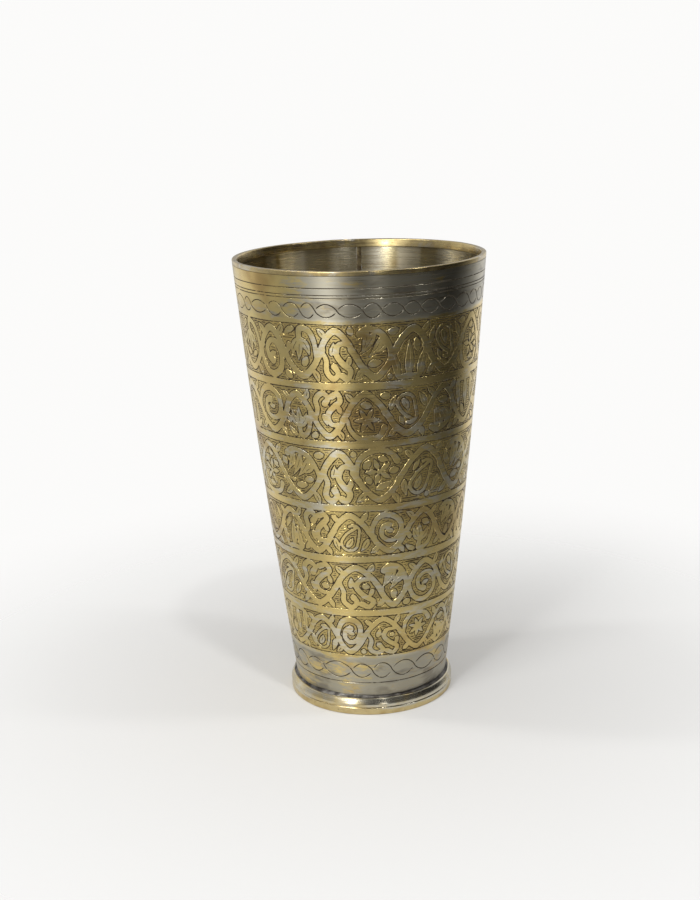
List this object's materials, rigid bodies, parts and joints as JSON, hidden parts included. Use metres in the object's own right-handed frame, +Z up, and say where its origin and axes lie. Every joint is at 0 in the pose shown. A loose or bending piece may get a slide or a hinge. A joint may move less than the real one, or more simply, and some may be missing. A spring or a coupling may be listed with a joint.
{
  "type": "drinking tumbler",
  "caption": "Tall tapered brass drinking tumbler with a worn tin finish, engraved ornament bands, a rim hoop and a turned foot ring.",
  "frame": {"origin": "centre of the foot ring's lower face, on the surface that the tumbler stands on", "axes": "+Z up along the tumbler's axis; -Y is the front; the side seam is at the back, at +Y"},
  "size_m": [0.0904, 0.0904, 0.165],
  "materials": {
    "tinned_brass": "engraved brass with most of its tin coat worn off",
    "bare_brass": "worn bare brass, satin",
    "foot_brass": "turned brass, bright tin left on the bead and bare brass on the lower band",
    "braze": "filed brazing alloy",
    "solder": "dull tin solder, darkened"
  },
  "bodies": {
    "root": {"body_wall": "tinned_brass", "side_seam_braze": "braze", "rim_hoop": "bare_brass", "base_plate": "tinned_brass", "foot_ring": "foot_brass", "base_solder": "solder", "foot_solder": "solder"}
  },
  "joints": []
}
